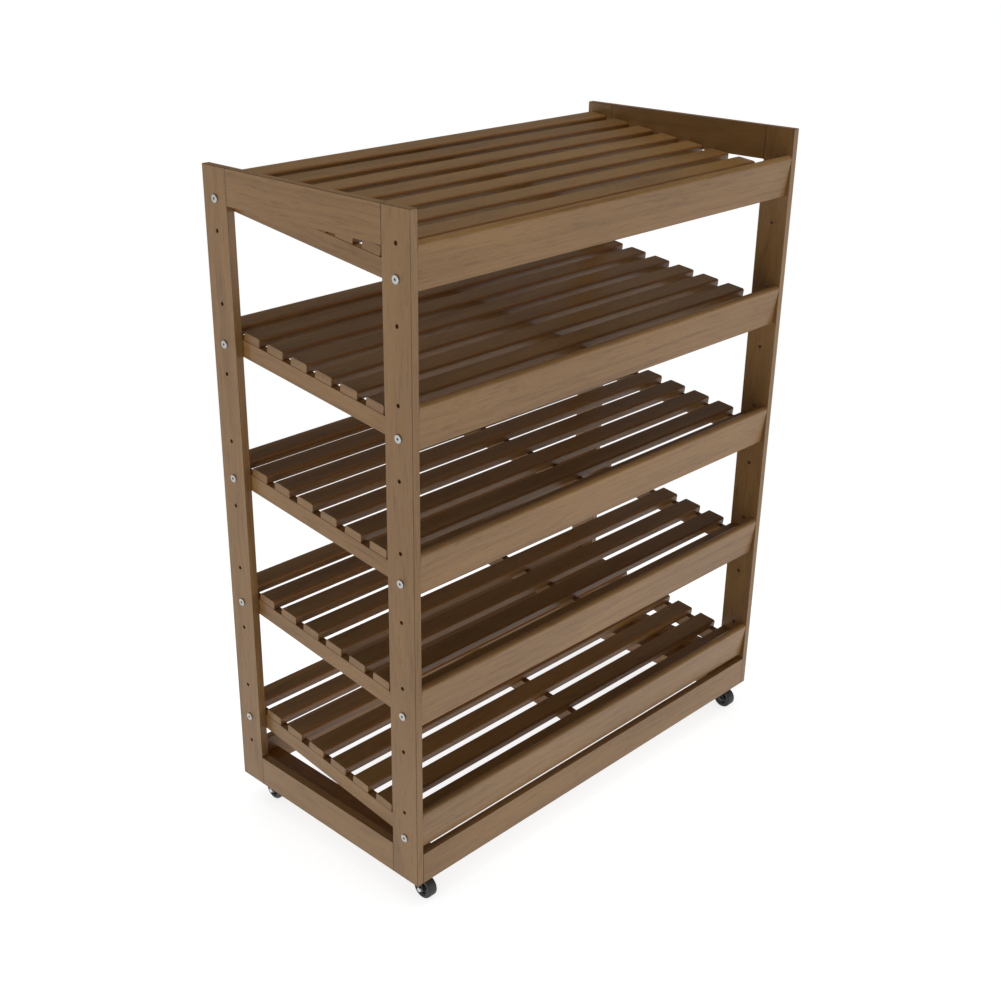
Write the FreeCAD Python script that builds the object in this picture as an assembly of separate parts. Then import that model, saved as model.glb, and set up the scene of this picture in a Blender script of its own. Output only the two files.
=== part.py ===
import FreeCAD, Part
import math
import os
from FreeCAD import Rotation, Vector

# Display stand on casters for potted plants and flowers: two board frames joined at the base,
# five slatted shelves bolted between them with their fronts lower, four swivel casters.
# Millimetres. +Z is up, the front is -Y, "left" is -X as seen from the front.
# The origin lies on the floor under the middle of the stand.

# --- Frame boards -------------------------------------------------------------------------
STAND_WIDTH = 1200.0            # over the outer faces of the two side frames
STAND_DEPTH = 600.0             # front edge of the front posts to rear edge of the rear posts
BOARD = 18.0                    # thickness of posts and rails
POST_WIDTH = 75.0
TOP_RAIL_HEIGHT = 75.0
BOTTOM_RAIL_HEIGHT = 75.0
BASE_RAIL_HEIGHT = 75.0
CASTER_BOARD_WIDTH = 75.0
CASTER_BOARD_THICKNESS = 36.0
EDGE_EASE = 1.2                 # radius sanded on the boards' edges

# --- Shelves ------------------------------------------------------------------------------
SHELF_COUNT = 5
SHELF_PITCH = 300.0
SHELF_TILT = 7.0                # degrees, the front is lower
FIRST_BOLT_HEIGHT = 107.5       # lowest front bolt above the underside of the frame
TOP_BOLT_MARGIN = 128.5         # highest front bolt below the top of the posts
SLAT_COUNT = 8
SLAT_WIDTH = 50.0
SLAT_THICKNESS = 19.0
SLAT_ROUND = 5.0                # radius on the two upper edges of a slat
BEARER_HEIGHT = 38.0
BEARER_THICKNESS = 18.0
BEARER_BACK_MARGIN = 1.0        # bearers end this far inside the rear edge of the posts
LIP_HEIGHT = 92.0
LIP_THICKNESS = 18.0
LIP_ROUND = 8.5                 # radius on the two upper edges, so the top is nearly half round
BOLT_BELOW_DECK = 19.0          # bolt axis below the bearers' upper edge

# --- Fasteners ----------------------------------------------------------------------------
POST_HOLE_DIAMETER = 9.0        # one drill for the bolts in use and for the spare holes
FREE_HOLE_STEP = 150.0          # spare hole to spare hole in one post
BOLT_DIAMETER = 8.0
BOLT_POINT = 1.0                # chamfer on the bolt's end
BOLT_HEAD_DIAMETER = 17.5
BOLT_HEAD_HEIGHT = 3.0
BOLT_HEAD_ROUND = 1.0
BOLT_SOCKET = 5.0               # across the flats of the hexagon socket
BOLT_SOCKET_DEPTH = 3.5
INSERT_DIAMETER = 12.0
INSERT_LENGTH = 13.0
INSERT_HOLE_SPARE = 2.0         # the drilled hole is this much deeper than the insert
DOWEL_DIAMETER = 6.0
DOWEL_IN_FACE = 12.0            # depth of a dowel in the face or edge of a board
DOWEL_IN_END = 18.0             # depth of a dowel in the end grain
DOWEL_CHAMFER = 0.8
DOWEL_EDGE_INSET = 18.0         # dowels in a rail's end, from the rail's edges
DOWEL_BELOW_TOP = 12.0          # dowels in a caster board's end, below its upper face
DOWEL_PAIR_SPACING = 23.0
FIT = 0.05                      # radial clearance of a fixed fastener in its hole

# --- Casters ------------------------------------------------------------------------------
WHEEL_DIAMETER = 50.0
WHEEL_WIDTH = 24.0
TYRE_ROUND = 4.0                # radius on the tyre's shoulders
RIM_DIAMETER = 36.0
RIM_WIDTH = 21.0
RIM_WALL = 3.0                  # thickness of the rim's outer ring
DISH_DEPTH = 5.0                # hollow between hub and rim on each side
HUB_DIAMETER = 15.0
HUB_CHAMFER = 1.0
RIM_DRAFT = 1.0                 # hub and rim widen by this much towards the bottom of the dish
HUB_SIDE_PLAY = 0.5             # hub to fork leg, on each side
CASTER_HEIGHT = 64.0
CASTER_TRAIL = 17.0             # wheel axle behind the swivel axis
PLATE_LENGTH = 60.0             # along X
PLATE_WIDTH = 50.0              # along Y
PLATE_THICKNESS = 2.5
PLATE_CORNER = 6.0
PLATE_MARGIN = 0.5              # plate's edge to the frame boards beside it
SCREW_SPACING_X = 45.0
SCREW_SPACING_Y = 35.0
SCREW_DIAMETER = 4.0
SCREW_HEAD_DIAMETER = 8.0
SCREW_HEAD_HEIGHT = 2.4
SCREW_HEAD_FLAT = 4.0           # diameter of the flat on top of the pan head
SCREW_HEAD_CROWN = 1.0          # height of the cone round that flat
SCREW_LENGTH = 15.0
SCREW_POINT = 4.0
PLATE_HOLE_DIAMETER = 4.8
RACEWAY_DIAMETER = 30.0
RACEWAY_THICKNESS = 3.0
BALL_DIAMETER = 4.0
BALL_COUNT = 12
BALL_CIRCLE = 20.0              # diameter of the circle through the balls' centres
RACEWAY_GAP = 2.5               # raceway to fork crown, bridged by the balls
BALL_CLEARANCE = 0.3            # balls to the turning groove in the crown
CROWN_DIAMETER = 40.0
CROWN_THICKNESS = 3.0
LEG_THICKNESS = 2.0
LEG_PLAY = 1.5                  # tyre's side to the fork leg
LEG_LOBE_DIAMETER = 17.0        # rounded end of a leg round the axle
LEG_TOP_WIDTH = 30.0
KINGPIN_DIAMETER = 8.0
KINGPIN_HEAD_DIAMETER = 13.0
KINGPIN_HEAD_HEIGHT = 1.9
KINGPIN_HEAD_PLAY = 0.2
KINGPIN_BELOW_PLATE_TOP = 0.3
RUNNING_FIT = 0.08              # radial clearance of a turning fit
AXLE_DIAMETER = 6.0
AXLE_HEX = 10.0                 # across the flats of head and nut
AXLE_HEAD_HEIGHT = 4.0
AXLE_NUT_HEIGHT = 5.0
HEX_BEVEL = 1.0                 # how far the corners of head and nut are turned down

# --- Worked out from the sizes above ------------------------------------------------------
SAME = 1e-6                     # lengths closer than this are taken as equal
X = Vector(1, 0, 0)
Y = Vector(0, 1, 0)
Z = Vector(0, 0, 1)
SIDES = (("left", -1), ("right", 1))
ENDS = (("front", -1), ("rear", 1))

frame_bottom = CASTER_HEIGHT
post_height = FIRST_BOLT_HEIGHT + (SHELF_COUNT - 1) * SHELF_PITCH + TOP_BOLT_MARGIN
frame_top = frame_bottom + post_height
outer_x = STAND_WIDTH / 2
inner_x = outer_x - BOARD
outer_y = STAND_DEPTH / 2
post_inner_y = outer_y - POST_WIDTH
bolt_y = outer_y - POST_WIDTH / 2

tilt = math.radians(SHELF_TILT)
bolt_span = 2 * bolt_y
bolt_rise = bolt_span * math.tan(tilt)
bolt_reach = bolt_span / math.cos(tilt)

# A shelf is laid out level, with its origin on the axis of its front bolts, and then tilted.
deck = BOLT_BELOW_DECK
bearer_bottom = deck - BEARER_HEIGHT
lip_top = bearer_bottom + LIP_HEIGHT
nose_height = lip_top - LIP_ROUND
nose_reach = (POST_WIDTH / 2 - LIP_ROUND - nose_height * math.sin(tilt)) / math.cos(tilt)
lip_face = -nose_reach - LIP_ROUND
bearer_front = lip_face + LIP_THICKNESS
bearer_back = (bolt_y + outer_y - BEARER_BACK_MARGIN + bearer_bottom * math.sin(tilt)) / math.cos(tilt)
slat_step = (bearer_back - bearer_front - SLAT_WIDTH) / (SLAT_COUNT - 1)
insert_radius = INSERT_DIAMETER / 2
bearer_centres = (
    ("left", -inner_x + BEARER_THICKNESS / 2),
    ("centre", 0.0),
    ("right", inner_x - BEARER_THICKNESS / 2),
)

caster_x = inner_x - PLATE_MARGIN - PLATE_LENGTH / 2
caster_y = outer_y - BOARD - PLATE_MARGIN - PLATE_WIDTH / 2
wheel_radius = WHEEL_DIAMETER / 2
plate_bottom = CASTER_HEIGHT - PLATE_THICKNESS
raceway_bottom = plate_bottom - RACEWAY_THICKNESS
crown_top = raceway_bottom - RACEWAY_GAP
crown_bottom = crown_top - CROWN_THICKNESS
ball_height = (raceway_bottom + crown_top) / 2
leg_inner = WHEEL_WIDTH / 2 + LEG_PLAY
leg_outer = leg_inner + LEG_THICKNESS
axle_centre = Vector(0, -CASTER_TRAIL, wheel_radius)


# --- Small helpers ------------------------------------------------------------------------
def block(x_ends, y_ends, z_ends):
    """Box between two values along each axis, given in either order."""
    low = Vector(min(x_ends), min(y_ends), min(z_ends))
    high = Vector(max(x_ends), max(y_ends), max(z_ends))
    size = high - low
    return Part.makeBox(size.x, size.y, size.z, low)


def edges_along(shape, direction):
    """Straight edges of a box that run along one axis."""
    found = []
    for edge in shape.Edges:
        run = edge.Vertexes[-1].Point - edge.Vertexes[0].Point
        if abs(abs(run.dot(direction)) - edge.Length) < SAME:
            found.append(edge)
    return found


def eased(shape, directions, radius=EDGE_EASE):
    """Round the edges of a box that run along the given axes."""
    edges = []
    for direction in directions:
        edges += edges_along(shape, direction)
    return shape.makeFillet(radius, edges)


def drilled(shape, holes):
    """Cut a list of holes from a board."""
    return shape.cut(Part.makeCompound(holes))


def rod(start, direction, length, radius):
    return Part.makeCylinder(radius, length, start, direction)


def turned(profile, direction=X):
    """Solid of revolution from (distance along the axis, radius) points, X turned to direction."""
    points = [Vector(along, 0, radius) for along, radius in profile]
    face = Part.Face(Part.makePolygon(points + points[:1]))
    solid = face.revolve(Vector(), X, 360)
    solid.rotate(Vector(), Rotation(X, direction).Axis, math.degrees(Rotation(X, direction).Angle))
    return solid


def hexagon(across_flats, height):
    """Hexagonal prism standing on the origin along +X."""
    corner = across_flats / math.sqrt(3)
    points = []
    for index in range(7):
        angle = math.radians(60 * index)
        points.append(Vector(0, corner * math.cos(angle), corner * math.sin(angle)))
    return Part.Face(Part.makePolygon(points)).extrude(X * height)


def moved(shape, offset):
    copy = shape.copy()
    copy.translate(offset)
    return copy


def save(node, shapes):
    """Write one node: a single solid, or a group of separate solids."""
    group = shapes if isinstance(shapes, list) else [shapes]
    solids = [solid for shape in group for solid in shape.Solids]
    node_shape = solids[0] if len(solids) == 1 else Part.makeCompound(solids)
    if not node_shape.isValid():
        raise ValueError(node + " is not valid")
    node_shape.exportStep("parts/" + node + ".step")


# --- Dowels -------------------------------------------------------------------------------
def dowel(joint, direction, back, forward):
    """Dowel that reaches back and forward from the joint between two boards."""
    length = back + forward
    radius = DOWEL_DIAMETER / 2
    tip = radius - DOWEL_CHAMFER
    profile = [(0, 0), (0, tip), (DOWEL_CHAMFER, radius), (length - DOWEL_CHAMFER, radius),
               (length, tip), (length, 0)]
    return moved(turned(profile, direction), joint - direction * back)


def dowel_hole(joint, direction, back, forward):
    return rod(joint - direction * back, direction, back + forward, DOWEL_DIAMETER / 2 + FIT)


def rail_joints(side, end, low, height):
    """Dowels between a side rail's end and the post beside it."""
    heights = (low + DOWEL_EDGE_INSET, low + height - DOWEL_EDGE_INSET)
    joints = []
    for z in heights:
        joint = Vector(side * (outer_x - BOARD / 2), end * post_inner_y, z)
        joints.append((joint, Y * end, DOWEL_IN_END, DOWEL_IN_FACE))
    return joints


def base_joints(side, end):
    """Dowels between a base rail's end and the post's inner face."""
    heights = (frame_bottom + DOWEL_EDGE_INSET, frame_bottom + BASE_RAIL_HEIGHT - DOWEL_EDGE_INSET)
    joints = []
    for z in heights:
        joint = Vector(side * inner_x, end * (outer_y - BOARD / 2), z)
        joints.append((joint, X * side, DOWEL_IN_END, DOWEL_IN_FACE))
    return joints


def caster_board_joints(side, end):
    """Dowels between a caster board's end and the base rail."""
    middle = side * (inner_x - CASTER_BOARD_WIDTH / 2)
    z = frame_bottom + CASTER_BOARD_THICKNESS - DOWEL_BELOW_TOP
    joints = []
    for shift in (-DOWEL_PAIR_SPACING / 2, DOWEL_PAIR_SPACING / 2):
        joint = Vector(middle + shift, end * (outer_y - BOARD), z)
        joints.append((joint, Y * end, DOWEL_IN_END, DOWEL_IN_FACE))
    return joints


def frame_joints(side, end):
    """Every dowelled joint in one corner of the frame."""
    joints = rail_joints(side, end, frame_top - TOP_RAIL_HEIGHT, TOP_RAIL_HEIGHT)
    joints += rail_joints(side, end, frame_bottom, BOTTOM_RAIL_HEIGHT)
    joints += base_joints(side, end)
    joints += caster_board_joints(side, end)
    return joints


def lip_joints(x):
    """Dowels from a bearer's front end into the front board, above and below the bolt."""
    heights = ((deck + insert_radius) / 2, (bearer_bottom - insert_radius) / 2)
    return [(Vector(x, bearer_front, z), -Y, DOWEL_IN_END, DOWEL_IN_FACE) for z in heights]


def slat_joint(x, slat):
    """Dowel that stands in a bearer's upper edge and holds one slat."""
    y = bearer_front + SLAT_WIDTH / 2 + slat * slat_step
    return (Vector(x, y, deck), Z, DOWEL_IN_FACE, DOWEL_IN_FACE)


# --- Side frames and base -----------------------------------------------------------------
def tier_height(tier):
    """Height of a shelf's front bolts."""
    return frame_bottom + FIRST_BOLT_HEIGHT + tier * SHELF_PITCH


def bolt_heights(end):
    """Front bolts are on the tier heights, rear bolts one rise above them."""
    rise = bolt_rise if end > 0 else 0.0
    return [tier_height(tier) + rise for tier in range(SHELF_COUNT)]


def spare_heights(end):
    """Spare holes: the rear post's pattern is the front post's upside down."""
    first = 0.0 if end > 0 else bolt_rise
    step = FREE_HOLE_STEP if end > 0 else -FREE_HOLE_STEP
    lowest = frame_bottom + BASE_RAIL_HEIGHT + POST_HOLE_DIAMETER
    highest = frame_top - POST_HOLE_DIAMETER
    heights = []
    for tier in range(SHELF_COUNT):
        for height in (tier_height(tier) + first, tier_height(tier) + first + step):
            if lowest < height < highest:
                heights.append(height)
    return heights


def post(side, end, joints):
    body = block((side * inner_x, side * outer_x), (end * post_inner_y, end * outer_y),
                 (frame_bottom, frame_top))
    body = eased(body, (X, Y, Z))
    holes = [dowel_hole(*joint) for joint in joints]
    for z in bolt_heights(end) + spare_heights(end):
        start = Vector(-STAND_WIDTH, end * bolt_y, z)
        holes.append(rod(start, X, 2 * STAND_WIDTH, POST_HOLE_DIAMETER / 2))
    return drilled(body, holes)


def side_rail(side, low, height, joints):
    body = block((side * inner_x, side * outer_x), (-post_inner_y, post_inner_y), (low, low + height))
    return drilled(eased(body, (Y,)), [dowel_hole(*joint) for joint in joints])


def base_rail(end, joints):
    body = block((-inner_x, inner_x), (end * (outer_y - BOARD), end * outer_y),
                 (frame_bottom, frame_bottom + BASE_RAIL_HEIGHT))
    return drilled(eased(body, (X,)), [dowel_hole(*joint) for joint in joints])


def caster_board(side, joints, screw_holes):
    length = outer_y - BOARD
    body = block((side * inner_x, side * (inner_x - CASTER_BOARD_WIDTH)), (-length, length),
                 (frame_bottom, frame_bottom + CASTER_BOARD_THICKNESS))
    return drilled(eased(body, (Y,)), [dowel_hole(*joint) for joint in joints] + screw_holes)


# --- Shelves ------------------------------------------------------------------------------
def placed(shape, tier):
    """Tilt a shelf piece about its front bolts and lift it to its tier."""
    copy = shape.copy()
    copy.rotate(Vector(), X, SHELF_TILT)
    copy.translate(Vector(0, -bolt_y, tier_height(tier)))
    return copy


def front_board():
    body = block((-inner_x, inner_x), (lip_face, bearer_front), (bearer_bottom, lip_top))
    upper = [edge for edge in edges_along(body, X) if edge.CenterOfMass.z > nose_height]
    body = body.makeFillet(LIP_ROUND, upper)
    lower = [edge for edge in edges_along(body, X) if edge.CenterOfMass.z < bearer_bottom + EDGE_EASE]
    body = body.makeFillet(EDGE_EASE, lower)
    holes = [dowel_hole(*joint) for name, x in bearer_centres for joint in lip_joints(x)]
    return drilled(body, holes)


def insert_holes(side):
    """Blind holes for the threaded inserts, from a side bearer's outer face."""
    depth = INSERT_LENGTH + INSERT_HOLE_SPARE
    holes = []
    for y in (0.0, bolt_reach):
        holes.append(rod(Vector(side * inner_x, y, 0), -X * side, depth, insert_radius + FIT))
    return holes


def bearer(x):
    body = block((x - BEARER_THICKNESS / 2, x + BEARER_THICKNESS / 2), (bearer_front, bearer_back),
                 (bearer_bottom, deck))
    holes = [dowel_hole(*joint) for joint in lip_joints(x)]
    holes += [dowel_hole(*slat_joint(x, slat)) for slat in range(SLAT_COUNT)]
    if x != 0.0:
        holes += insert_holes(math.copysign(1, x))
    return drilled(eased(body, (Y,)), holes)


def slat(index):
    start = bearer_front + index * slat_step
    body = block((-inner_x, inner_x), (start, start + SLAT_WIDTH), (deck, deck + SLAT_THICKNESS))
    middle = deck + SLAT_THICKNESS / 2
    body = body.makeFillet(SLAT_ROUND, [e for e in edges_along(body, X) if e.CenterOfMass.z > middle])
    lower = [e for e in edges_along(body, X) if e.CenterOfMass.z < deck + EDGE_EASE]
    body = body.makeFillet(EDGE_EASE, lower)
    return drilled(body, [dowel_hole(*slat_joint(x, index)) for name, x in bearer_centres])


def shelf_dowels():
    dowels = []
    for name, x in bearer_centres:
        dowels += [dowel(*joint) for joint in lip_joints(x)]
        dowels += [dowel(*slat_joint(x, index)) for index in range(SLAT_COUNT)]
    return dowels


# --- Shelf bolts and their threaded inserts -----------------------------------------------
def shelf_bolt():
    """Low-head socket bolt; the head's bearing face is at the origin, the head towards +X."""
    shank = BOARD + INSERT_LENGTH
    radius = BOLT_DIAMETER / 2
    head_radius = BOLT_HEAD_DIAMETER / 2
    profile = [(-shank, 0), (-shank, radius - FIT), (-shank + BOLT_POINT, radius), (0, radius),
               (0, head_radius), (BOLT_HEAD_HEIGHT, head_radius), (BOLT_HEAD_HEIGHT, 0)]
    bolt = turned(profile)
    rim = [edge for edge in bolt.Edges
           if abs(edge.BoundBox.XMin - BOLT_HEAD_HEIGHT) < SAME and edge.BoundBox.XLength < SAME
           and edge.BoundBox.YLength > BOLT_DIAMETER]
    bolt = bolt.makeFillet(BOLT_HEAD_ROUND, rim)
    socket = moved(hexagon(BOLT_SOCKET, BOLT_SOCKET_DEPTH), X * (BOLT_HEAD_HEIGHT - BOLT_SOCKET_DEPTH))
    return bolt.cut(socket)


def threaded_insert():
    """Insert whose outer end is at the origin, its body towards -X."""
    sleeve = rod(-X * INSERT_LENGTH, X, INSERT_LENGTH, insert_radius)
    return sleeve.cut(rod(-X * INSERT_LENGTH, X, INSERT_LENGTH, BOLT_DIAMETER / 2 + FIT))


def outward(shape, side):
    """Turn a piece that points to +X so that it points out of one side of the stand."""
    copy = shape.copy()
    if side < 0:
        copy.rotate(Vector(), Z, 180)
    return copy


# --- Casters ------------------------------------------------------------------------------
def screw_places():
    """Screw holes of one caster plate, about its swivel axis."""
    return [Vector(x, y, 0) for x in (-SCREW_SPACING_X / 2, SCREW_SPACING_X / 2)
            for y in (-SCREW_SPACING_Y / 2, SCREW_SPACING_Y / 2)]


def caster_plate():
    """Plate with the upper ball race under it."""
    plate = block((-PLATE_LENGTH / 2, PLATE_LENGTH / 2), (-PLATE_WIDTH / 2, PLATE_WIDTH / 2),
                  (plate_bottom, CASTER_HEIGHT))
    plate = eased(plate, (Z,), PLATE_CORNER)
    race = rod(Z * raceway_bottom, Z, RACEWAY_THICKNESS, RACEWAY_DIAMETER / 2)
    plate = plate.fuse(race).removeSplitter()
    groove = Part.makeTorus(BALL_CIRCLE / 2, BALL_DIAMETER / 2 + FIT, Z * ball_height)
    holes = [rod(place, Z, CASTER_HEIGHT, PLATE_HOLE_DIAMETER / 2) for place in screw_places()]
    holes.append(rod(Vector(), Z, CASTER_HEIGHT, KINGPIN_DIAMETER / 2 + FIT))
    return drilled(plate.cut(groove), holes)


def caster_balls():
    balls = []
    for index in range(BALL_COUNT):
        angle = 2 * math.pi * index / BALL_COUNT
        centre = Vector(math.cos(angle), math.sin(angle), 0) * (BALL_CIRCLE / 2) + Z * ball_height
        balls.append(Part.makeSphere(BALL_DIAMETER / 2, centre))
    return balls


def kingpin():
    """Rivet through plate and fork crown, with its head under the crown."""
    top = CASTER_HEIGHT - KINGPIN_BELOW_PLATE_TOP
    head_top = crown_bottom - KINGPIN_HEAD_PLAY
    radius = KINGPIN_DIAMETER / 2
    head_radius = KINGPIN_HEAD_DIAMETER / 2
    head_bottom = head_top - KINGPIN_HEAD_HEIGHT
    profile = [(head_bottom, 0), (head_bottom, radius), (head_top - KINGPIN_HEAD_HEIGHT / 2, head_radius),
               (head_top, head_radius), (head_top, radius), (top, radius), (top, 0)]
    return turned(profile, Z)


def caster_screw():
    """Pan-head screw up through the plate into the caster board."""
    radius = SCREW_DIAMETER / 2
    head_radius = SCREW_HEAD_DIAMETER / 2
    head_bottom = plate_bottom - SCREW_HEAD_HEIGHT
    top = plate_bottom + SCREW_LENGTH
    profile = [(head_bottom, 0), (head_bottom, SCREW_HEAD_FLAT / 2),
               (head_bottom + SCREW_HEAD_CROWN, head_radius), (plate_bottom, head_radius),
               (plate_bottom, radius), (top - SCREW_POINT, radius), (top, 0)]
    return turned(profile, Z)


def screw_hole():
    depth = SCREW_LENGTH - PLATE_THICKNESS
    return rod(Z * CASTER_HEIGHT, Z, depth, SCREW_DIAMETER / 2 + FIT)


def tangent_point(outside, centre, radius, turn):
    """Where a line from a point outside a circle touches it; turn picks the side."""
    reach = outside - centre
    angle = math.atan2(reach.z, reach.y) + turn * math.acos(radius / reach.Length)
    return centre + Vector(0, math.cos(angle), math.sin(angle)) * radius


def fork_leg(side):
    """Flat leg that narrows from the crown to a round end at the axle."""
    radius = LEG_LOBE_DIAMETER / 2
    front = Vector(0, -LEG_TOP_WIDTH / 2, crown_top)
    back = Vector(0, LEG_TOP_WIDTH / 2, crown_top)
    front_touch = tangent_point(front, axle_centre, radius, 1)
    back_touch = tangent_point(back, axle_centre, radius, -1)
    away = (axle_centre - (front + back) * 0.5).normalize()
    arc = Part.Arc(back_touch, axle_centre + away * radius, front_touch).toShape()
    edges = [Part.makeLine(front, back), Part.makeLine(back, back_touch), arc,
             Part.makeLine(front_touch, front)]
    leg = Part.Face(Part.Wire(edges)).extrude(X * LEG_THICKNESS)
    return moved(leg, X * (leg_inner if side > 0 else -leg_outer))


def fork():
    """Pressed fork: a crown with the lower ball race, and a leg on each side of the wheel."""
    crown = rod(Z * crown_bottom, Z, CROWN_THICKNESS, CROWN_DIAMETER / 2)
    crown = crown.common(block((-leg_outer, leg_outer), (-CROWN_DIAMETER, CROWN_DIAMETER),
                               (crown_bottom, crown_top)))
    body = crown.fuse([fork_leg(-1), fork_leg(1)]).removeSplitter()
    groove = Part.makeTorus(BALL_CIRCLE / 2, BALL_DIAMETER / 2 + BALL_CLEARANCE, Z * ball_height)
    axle_hole = rod(axle_centre - X * leg_outer, X, 2 * leg_outer, AXLE_DIAMETER / 2 + FIT)
    pin_hole = rod(Z * crown_bottom, Z, CROWN_THICKNESS, KINGPIN_DIAMETER / 2 + RUNNING_FIT)
    return drilled(body.cut(groove), [axle_hole, pin_hole])


def tyre():
    half = WHEEL_WIDTH / 2
    bore = RIM_DIAMETER / 2 + FIT
    ring = turned([(-half, bore), (-half, wheel_radius), (half, wheel_radius), (half, bore)])
    tread_side = (WHEEL_DIAMETER + RIM_DIAMETER) / 2
    shoulders = [edge for edge in ring.Edges
                 if edge.BoundBox.XLength < SAME and edge.BoundBox.YLength > tread_side]
    return moved(ring.makeFillet(TYRE_ROUND, shoulders), axle_centre)


def rim():
    """Moulded wheel centre, dished on both sides between hub and rim."""
    hub_half = leg_inner - HUB_SIDE_PLAY
    half = RIM_WIDTH / 2
    web = half - DISH_DEPTH
    hub = HUB_DIAMETER / 2
    ring = RIM_DIAMETER / 2 - RIM_WALL
    bore = AXLE_DIAMETER / 2 + RUNNING_FIT
    one_side = [(hub_half, bore), (hub_half, hub - HUB_CHAMFER), (hub_half - HUB_CHAMFER, hub),
                (web, hub + RIM_DRAFT), (web, ring - RIM_DRAFT), (half, ring), (half, RIM_DIAMETER / 2)]
    other_side = [(-along, radius) for along, radius in reversed(one_side)]
    return moved(turned(one_side + other_side), axle_centre)


def bevelled_hexagon(height):
    """Hexagon for a bolt head or nut along +X, its outer corners turned down."""
    corner = AXLE_HEX / math.sqrt(3)
    cone = turned([(0, 0), (0, corner + HEX_BEVEL), (height, corner - HEX_BEVEL), (height, 0)])
    return hexagon(AXLE_HEX, height).common(cone)


def axle(side):
    """Axle bolt with its head inboard, and the nut on the outboard leg."""
    radius = AXLE_DIAMETER / 2
    end = leg_outer + AXLE_NUT_HEIGHT
    shank = rod(-X * leg_outer, X, leg_outer + end, radius)
    head = moved(outward(bevelled_hexagon(AXLE_HEAD_HEIGHT), -1), -X * leg_outer)
    bolt = shank.fuse(head).removeSplitter()
    nut = moved(bevelled_hexagon(AXLE_NUT_HEIGHT), X * leg_outer)
    nut = nut.cut(rod(Vector(), X, end, radius + FIT))
    return [moved(outward(piece, side), axle_centre) for piece in (bolt, nut)]


# --- Build --------------------------------------------------------------------------------
def build_frame():
    dowels = []
    for side_name, side in SIDES:
        for end_name, end in ENDS:
            joints = frame_joints(side, end)
            dowels += [dowel(*joint) for joint in joints]
            save(side_name + "_" + end_name + "_post", post(side, end, joints))
    for side_name, side in SIDES:
        joints = frame_joints(side, -1) + frame_joints(side, 1)
        top = frame_top - TOP_RAIL_HEIGHT
        screws = [moved(screw_hole(), Vector(side * caster_x, end * caster_y, 0) + place)
                  for end_name, end in ENDS for place in screw_places()]
        save(side_name + "_top_rail", side_rail(side, top, TOP_RAIL_HEIGHT, joints))
        save(side_name + "_bottom_rail", side_rail(side, frame_bottom, BOTTOM_RAIL_HEIGHT, joints))
        save(side_name + "_caster_board", caster_board(side, joints, screws))
    for end_name, end in ENDS:
        joints = frame_joints(-1, end) + frame_joints(1, end)
        save(end_name + "_base_rail", base_rail(end, joints))
    return dowels


def build_shelves():
    dowels = []
    lip = front_board()
    slats = [slat(index) for index in range(SLAT_COUNT)]
    bearers = [(name, bearer(x)) for name, x in bearer_centres]
    loose_dowels = shelf_dowels()
    for tier in range(SHELF_COUNT):
        shelf = "shelf_" + str(tier + 1)
        save(shelf + "_front_board", placed(lip, tier))
        save(shelf + "_slats", [placed(piece, tier) for piece in slats])
        for name, piece in bearers:
            save(shelf + "_" + name + "_bearer", placed(piece, tier))
        dowels += [placed(piece, tier) for piece in loose_dowels]
    return dowels


def build_bolts():
    bolts = []
    inserts = []
    for side_name, side in SIDES:
        for end_name, end in ENDS:
            for z in bolt_heights(end):
                outside = Vector(side * outer_x, end * bolt_y, z)
                inside = Vector(side * inner_x, end * bolt_y, z)
                bolts.append(moved(outward(shelf_bolt(), side), outside))
                inserts.append(moved(outward(threaded_insert(), side), inside))
    save("shelf_bolts", bolts)
    save("shelf_inserts", inserts)


def build_casters():
    plates = []
    balls = []
    kingpins = []
    screws = []
    for side_name, side in SIDES:
        for end_name, end in ENDS:
            place = Vector(side * caster_x, end * caster_y, 0)
            caster = "caster_" + end_name + "_" + side_name
            plates.append(moved(caster_plate(), place))
            balls += [moved(ball, place) for ball in caster_balls()]
            kingpins.append(moved(kingpin(), place))
            screws += [moved(caster_screw(), place + spot) for spot in screw_places()]
            save(caster + "_fork", moved(fork(), place))
            save(caster + "_tyre", moved(tyre(), place))
            save(caster + "_rim", moved(rim(), place))
            save(caster + "_axle", [moved(piece, place) for piece in axle(side)])
    save("caster_plates", plates)
    save("caster_balls", balls)
    save("caster_kingpins", kingpins)
    save("caster_screws", screws)


os.makedirs("parts", exist_ok=True)
wood_dowels = build_frame() + build_shelves()
save("wood_dowels", wood_dowels)
build_bolts()
build_casters()
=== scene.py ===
import math

import bpy
from mathutils import Matrix, Vector

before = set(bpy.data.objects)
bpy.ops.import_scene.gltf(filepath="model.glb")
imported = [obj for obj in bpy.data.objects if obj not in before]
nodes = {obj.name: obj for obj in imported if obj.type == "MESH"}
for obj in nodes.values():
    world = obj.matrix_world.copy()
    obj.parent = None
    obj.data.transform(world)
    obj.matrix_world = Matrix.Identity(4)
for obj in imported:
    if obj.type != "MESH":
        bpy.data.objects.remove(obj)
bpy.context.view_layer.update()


# ---- The view ------------------------------------------------------------------------------
# The stand seen from its front left corner and a little above its top, as in the photograph.
# The shift only sets the picture's frame round it.
camera_data = bpy.data.cameras.new("camera")
camera_data.lens = 51.016
camera_data.sensor_width = 36.0
camera_data.shift_x = 0.05159
camera_data.shift_y = 0.01824
camera = bpy.data.objects.new("camera", camera_data)
camera.location = (-2.25234, -2.06187, 2.01974)
camera.rotation_euler = (math.radians(65.55), 0.0, math.radians(-44.735))
bpy.context.scene.collection.objects.link(camera)
bpy.context.scene.camera = camera
bpy.context.scene.view_settings.view_transform = "Standard"


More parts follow.
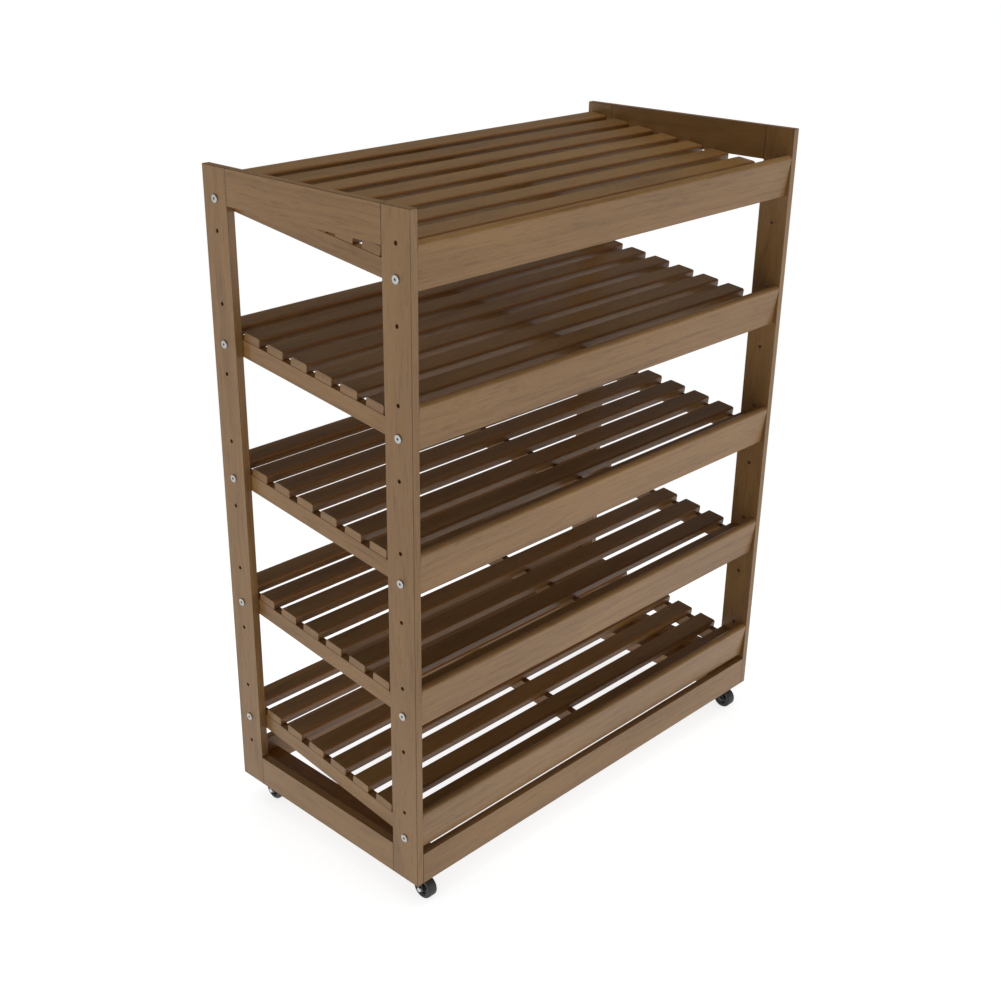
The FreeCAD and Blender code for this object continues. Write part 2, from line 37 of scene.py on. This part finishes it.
# ---- Studio --------------------------------------------------------------------------------
# A white sweep without corners: most light comes back from the white floor, little from above.
# A low soft box stands before the stand and one at its left, and a square one hangs over it.
class Socket:
    """One output in a node tree. Plain maths on it adds Math nodes."""

    def __init__(self, tree, output):
        self.tree = tree
        self.output = output

    def node(self, kind, settings=None, sockets=None, out=0):
        """Add a node: its type, its settings, then the values or links of its sockets."""
        made = self.tree.nodes.new("ShaderNode" + kind)
        for name, value in (settings or {}).items():
            setattr(made, name, value)
        for name, value in (sockets or {}).items():
            if isinstance(value, Socket):
                self.tree.links.new(value.output, made.inputs[name])
            else:
                made.inputs[name].default_value = value
        return Socket(self.tree, made.outputs[out]) if made.outputs else None

    def maths(self, operation, *values):
        return self.node("Math", {"operation": operation}, dict(enumerate(values)))

    def __add__(self, other):
        return self.maths("ADD", self, other)

    def __radd__(self, other):
        return self.maths("ADD", other, self)

    def __sub__(self, other):
        return self.maths("SUBTRACT", self, other)

    def __rsub__(self, other):
        return self.maths("SUBTRACT", other, self)

    def __mul__(self, other):
        return self.maths("MULTIPLY", self, other)

    def __rmul__(self, other):
        return self.maths("MULTIPLY", other, self)

    def __truediv__(self, other):
        return self.maths("DIVIDE", self, other)

    def __pow__(self, other):
        return self.maths("POWER", self, other)

    def __abs__(self):
        return self.maths("ABSOLUTE", self)

    def floored(self):
        return self.maths("FLOOR", self)

    def smaller(self, other):
        return self.maths("MINIMUM", self, other)

    def larger(self, other):
        return self.maths("MAXIMUM", self, other)

    def step(self, low, high):
        """0 below low, 1 above high, and a smooth rise between them."""
        return self.node("MapRange", {"interpolation_type": "SMOOTHSTEP"},
                         {"Value": self, "From Min": low, "From Max": high})

    def parts(self):
        """The X, Y and Z of a vector."""
        return [self.node("SeparateXYZ", None, {"Vector": self}, out=axis) for axis in "XYZ"]

    def vector(self, x, y, z):
        return self.node("CombineXYZ", None, {"X": x, "Y": y, "Z": z})

    def length(self):
        return self.node("VectorMath", {"operation": "LENGTH"}, {0: self}, out="Value")

    def scaled(self, factor):
        return self.node("VectorMath", {"operation": "SCALE"}, {0: self, "Scale": factor})

    def noise(self, detail=2.0, rough=0.5):
        """Cloudy noise at this point, about 0.2 to 0.8."""
        return self.node("TexNoise", None,
                         {"Vector": self, "Scale": 1.0, "Detail": detail, "Roughness": rough})

    def blend(self, first, second):
        """Colour between two others, by this share."""
        return self.node("Mix", {"data_type": "RGBA"}, {0: self, 6: first, 7: second}, out=2)


def background_seen(start, kinds):
    """1 for rays of these kinds, which show the background itself, and 0 for the others."""
    seen = 0.0
    for kind in kinds:
        seen = start.node("LightPath", out="Is " + kind + " Ray").larger(seen)
    return seen


world = bpy.data.worlds.new("studio")
bpy.context.scene.world = world
world.use_nodes = True
world.node_tree.nodes.clear()
sky = Socket(world.node_tree, None)
white = (1.0, 1.0, 1.0, 1.0)
floor_light = 0.68
ceiling_light = 0.13
horizon = 0.05
height = sky.node("TexCoord", out="Generated").parts()[2]
below = 1.0 - height.step(-horizon, horizon)
light = ceiling_light + (floor_light - ceiling_light) * below
strength = light.larger(background_seen(sky, ("Camera", "Transmission")))
backdrop = sky.node("Background", None, {"Color": white, "Strength": strength})
sky.node("OutputWorld", None, {"Surface": backdrop})


def soft_box(name, place, aim, size, power):
    data = bpy.data.lights.new(name, "AREA")
    data.shape = "RECTANGLE"
    data.size, data.size_y = size
    data.energy = power
    made = bpy.data.objects.new(name, data)
    made.location = place
    made.rotation_euler = (Vector(aim) - Vector(place)).to_track_quat("-Z", "Y").to_euler()
    made.visible_camera = False
    bpy.context.scene.collection.objects.link(made)


low_box = (1.6, 1.2)
top_box = (1.6, 1.6)
floor_middle = (0.0, 0.0, 0.0)
stand_middle = (0.0, 0.0, 0.75)
soft_box("front_soft_box", (0.94, -4.09, 0.80), stand_middle, low_box, 35.0)
soft_box("left_soft_box", (-4.16, 0.58, 0.80), stand_middle, low_box, 30.0)
soft_box("top_soft_box", (0.0, 0.0, 4.5), floor_middle, top_box, 42.0)


def new_finish(name):
    """An empty material and the Socket of a point of the piece in metres."""
    material = bpy.data.materials.new(name)
    material.use_nodes = True
    material.node_tree.nodes.clear()
    start = Socket(material.node_tree, None)
    return material, start.node("TexCoord", out="Object")


# The floor glows white to the camera and in glossy pieces. Near the stand a part of that white is a
# grey that takes its shadow, and the glow also carries a painted contact shadow: ambient occlusion
# darkens it where something stands close above it. The light that comes up from below is the
# world's, which passes through the floor.
bpy.ops.mesh.primitive_circle_add(vertices=96, radius=40.0, fill_type="NGON", location=floor_middle)
floor = bpy.context.object
floor.name = "studio_floor"
floor.visible_diffuse = False
floor.visible_shadow = False
floor_finish, spot = new_finish("white_sweep")
shadow_end = 0.9
white_start = 1.9
contact_reach = 0.35
glow_in_contact = 0.76
glow_added_clear = 0.26
shadow_grey = (0.25, 0.25, 0.25, 1.0)
far = spot.length().step(shadow_end, white_start)
# painted contact shadow: where ambient occlusion finds the stand close above, the floor's glow is
# dimmed
clear = spot.node("AmbientOcclusion", {"samples": 8}, {"Distance": contact_reach}, out="AO")
seen = background_seen(spot, ("Camera", "Transmission", "Glossy"))
near_strength = seen * (glow_in_contact + glow_added_clear * clear)
near_glow = spot.node("Emission", None, {"Color": white, "Strength": near_strength})
far_glow = spot.node("Emission", None, {"Color": white, "Strength": seen})
shadow_floor = spot.node("BsdfDiffuse", None, {"Color": shadow_grey})
near = spot.node("AddShader", None, {0: shadow_floor, 1: near_glow})
sweep = spot.node("MixShader", None, {0: far, 1: near, 2: far_glow})
spot.node("OutputMaterial", None, {"Surface": sweep})
floor.data.materials.append(floor_finish)


# ---- Frame boards --------------------------------------------------------------------------
# Planed walnut boards, 18 mm thick and 36 mm over the casters, oiled and satin. The grain runs
# the length of each board, and every board has its own cut of the log.
def srgb(red, green, blue):
    """A colour as a picture program writes it, 0 to 255, for a shader."""
    shares = [value / 255 for value in (red, green, blue)]
    return [s / 12.92 if s < 0.04045 else ((s + 0.055) / 1.055) ** 2.4 for s in shares] + [1.0]


def coat(material, colour, rough, relief, depth, metal=0.0, gloss=0.5):
    """Close a finish: relief is a height from 0 to 1, as deep as depth metres."""
    start = Socket(material.node_tree, None)
    bumps = start.node("Bump", None, {"Strength": 1.0, "Distance": depth, "Height": relief})
    surface = start.node("BsdfPrincipled", None, {
        "Base Color": colour, "Roughness": rough, "Metallic": metal,
        "Specular IOR Level": gloss, "Normal": bumps})
    start.node("OutputMaterial", None, {"Surface": surface})
    return material


def dress(node, material):
    """Give a CAD node its finish."""
    mesh = nodes[node].data
    mesh.materials.clear()
    mesh.materials.append(material)


wood_dark = srgb(87, 55, 26)
wood_light = srgb(165, 125, 74)
# painted shade: dark colour for the boards' rounded long edges and for the lines round every
# board's sawn ends
arris_shade = srgb(82, 55, 30)
arris = 0.0012
grain_depth = 0.0002
satin = 0.40


def walnut(node, grain, seed, tilt=0.0, slats=None, edge=(arris, arris_shade, 0.7)):
    """Solid wood: the year rings lie round a pith beside the board and wander along it.

    grain is the axis of the fibres, seed picks the cut of the log and tilt is the board's
    slope. slats gives the width and the number of boards that lie side by side in the node.
    edge gives how far in from the long edges a painted shade colour reaches, that colour and its
    share.
    """
    material, place = new_finish(node + "_wood")
    if tilt:
        place = place.node("Mapping", None, {"Vector": place, "Rotation": (-tilt, 0.0, 0.0)})
    # The board's own box, square to the board, gives how far a point is from its faces.
    turn = Matrix.Rotation(-tilt, 3, "X")
    corners = [turn @ vertex.co for vertex in nodes[node].data.vertices]
    low = [min(point[axis] for point in corners) for axis in range(3)]
    size = [max(point[axis] for point in corners) - low[axis] for axis in range(3)]
    across, through = [axis for axis in range(3) if axis != grain]
    parts = place.parts()
    along, first, second = parts[grain] + 3.7 * seed, parts[across], parts[through]
    from_end, from_side, from_face = [parts[axis] - low[axis] for axis in (grain, across, through)]
    width = size[across]
    cut = 0.0
    if slats:
        width, count = slats
        step = (size[across] - width) / (count - 1)
        number = (from_side / step).floored()
        from_side = from_side - number * step
        draws = number.node("TexWhiteNoise", {"noise_dimensions": "1D"},
                            {"W": number + 11.3 * seed}, out="Color").parts()
        along = along + draws[0] * 5.0
        first = first + (draws[1] - 0.5) * 0.12
        cut = draws[2] - 0.5
    to_end = from_end.smaller(size[grain] - from_end)
    to_side = from_side.smaller(width - from_side)
    to_face = from_face.smaller(size[through] - from_face)

    # The pattern: rings from the distance to the pith, then streaks, fibres and pores along
    # the grain, and a slow change of tone.
    wander = place.vector(along * 1.9, first * 6.0 + seed, second * 6.0).noise() - 0.5
    wave = place.vector(along * 9.0, first * 24.0, second * 24.0 + seed).noise(1.0) - 0.5
    side = first + 0.055 * math.sin(2.1 * seed) + wander * 0.07 + wave * 0.010
    depth = second + 0.10 + 0.03 * math.cos(3.7 * seed)
    radius = (side * side + depth * depth) ** 0.5
    rings = place.vector(radius * 95.0, along * 1.5, seed).noise(2.0, 0.6).step(0.42, 0.68)
    streak = place.vector(along * 14.0, side * 170.0, depth * 170.0).noise(2.0, 0.55)
    streak = streak.step(0.50, 0.72)
    fibre = place.vector(along * 60.0, first * 640.0, second * 640.0).noise(2.0, 0.6)
    pore = place.vector(along * 45.0, first * 1500.0, second * 1500.0).noise(1.0)
    pore = pore.step(0.60, 0.72)
    cloud = place.vector(along * 2.2, first * 9.0, second * 9.0 + seed).noise()
    tone = 0.80 + (cloud - 0.5) * 0.5 + (fibre - 0.5) * 0.35 + cut * 0.12
    tone = tone - rings * 0.17 - streak * 0.20 - pore * 0.12

    # Painted shade: the long edges take a shade colour, and a dark painted-shade line runs round
    # each sawn end where boards meet.
    reach, edge_shade_colour, edge_shade_share = edge
    near_side, near_face = [1.0 - gap.step(reach * 0.6, reach * 1.2) for gap in (to_side, to_face)]
    near_end, near_outline = [1.0 - gap.step(arris * 0.6, arris * 1.6)
                              for gap in (to_end, to_side.smaller(to_face))]
    colour = tone.blend(wood_dark, wood_light)
    colour = (near_side * near_face * edge_shade_share).blend(colour, edge_shade_colour)
    colour = (near_end * near_outline * 0.6).blend(colour, arris_shade)
    rough = 0.30 + (0.5 - fibre) * 0.12 + pore * 0.1
    relief = fibre * 0.6 - pore * 0.5
    return coat(material, colour, rough, relief, grain_depth, gloss=satin)


board_kinds = (("_front_post", 2, 1.3), ("_rear_post", 2, 4.1), ("_top_rail", 1, 6.7),
               ("_bottom_rail", 1, 8.9), ("_caster_board", 1, 10.3))
for count, side in enumerate(("left", "right")):
    for kind, grain, seed in board_kinds:
        dress(side + kind, walnut(side + kind, grain, seed + count))
for count, end in enumerate(("front", "rear")):
    dress(end + "_base_rail", walnut(end + "_base_rail", 0, 12.2 + count))


# ---- Shelves -------------------------------------------------------------------------------
# Five shelves, each tilted 7 degrees with its front lower: three bearers, eight slats across
# them, and a front board that stands up as a lip. Dowels hide in the joints.
shelf_tilt = math.radians(7.0)
slat_width = 0.050
slat_count = 8
# painted shade: an orange-brown band 4 mm in from the slats' rounded long edges, where light turns
# away
slat_edge_shade = (0.004, srgb(150, 92, 40), 0.5)

for tier in range(1, 6):
    shelf = "shelf_" + str(tier) + "_"
    seed = 20.0 + 3.3 * tier
    dress(shelf + "front_board", walnut(shelf + "front_board", 0, seed, shelf_tilt))
    dress(shelf + "slats", walnut(shelf + "slats", 0, seed + 1.1, shelf_tilt,
                                  (slat_width, slat_count), slat_edge_shade))
    for count, part in enumerate(("left", "centre", "right")):
        bearer = shelf + part + "_bearer"
        dress(bearer, walnut(bearer, 1, seed + 1.9 + count, shelf_tilt))
dress("wood_dowels", walnut("wood_dowels", 0, 50.0))


# ---- Shelf bolts and inserts ---------------------------------------------------------------
# Low-head socket bolts of bright steel go through the posts, into brass-coloured threaded
# inserts in the ends of the shelves.
def darker(colour, share):
    return [part * share for part in colour[:3]] + [1.0]


def metal(name, colour, rough, dark_inside=None):
    """Bright metal, but dark wherever it is nearer the middle of the stand than dark_inside."""
    material, place = new_finish(name)
    speck = place.scaled(600.0).noise()
    tint = (0.35 + speck * 0.6).blend(darker(colour, 0.8), colour)
    if dark_inside:
        outboard = abs(place.parts()[0]).step(dark_inside - 0.004, dark_inside + 0.004)
        tint = outboard.blend(srgb(70, 70, 72), tint)
    rough = rough + (speck - 0.5) * 0.15
    return coat(material, tint, rough, speck, 0.00005, metal=1.0)


dress("shelf_bolts", metal("bolt_steel", srgb(186, 186, 186), 0.34))
dress("shelf_inserts", metal("insert_steel", srgb(190, 170, 120), 0.40))


# ---- Casters -------------------------------------------------------------------------------
# Four swivel casters: black pressed plate and fork, black rubber tyre on a dark moulded rim. The
# axle's nut, on the outboard side, is bright, and its head inboard is dark.
def dull_black(name, colour, rough, fineness, depth):
    """Black finish with a fine speckle, fineness per metre."""
    material, place = new_finish(name)
    speck = place.scaled(fineness).noise(3.0, 0.6)
    tint = speck.blend(darker(colour, 0.7), colour)
    return coat(material, tint, rough + (speck - 0.5) * 0.2, speck, depth)


wheel_from_middle = 0.5515
fork_black = dull_black("fork_black", srgb(52, 52, 54), 0.42, 900.0, 0.0001)
tyre_rubber = dull_black("tyre_rubber", srgb(62, 62, 62), 0.62, 700.0, 0.0002)
rim_plastic = dull_black("rim_plastic", srgb(70, 70, 72), 0.50, 800.0, 0.0001)
axle_steel = metal("axle_steel", srgb(215, 215, 215), 0.30, dark_inside=wheel_from_middle)
dress("caster_plates", fork_black)
dress("caster_balls", metal("ball_steel", srgb(190, 190, 190), 0.20))
dress("caster_kingpins", metal("kingpin_steel", srgb(150, 150, 150), 0.40))
dress("caster_screws", metal("screw_steel", srgb(170, 170, 170), 0.35))
for end in ("front", "rear"):
    for side in ("left", "right"):
        caster = "caster_" + end + "_" + side + "_"
        dress(caster + "fork", fork_black)
        dress(caster + "tyre", tyre_rubber)
        dress(caster + "rim", rim_plastic)
        dress(caster + "axle", axle_steel)
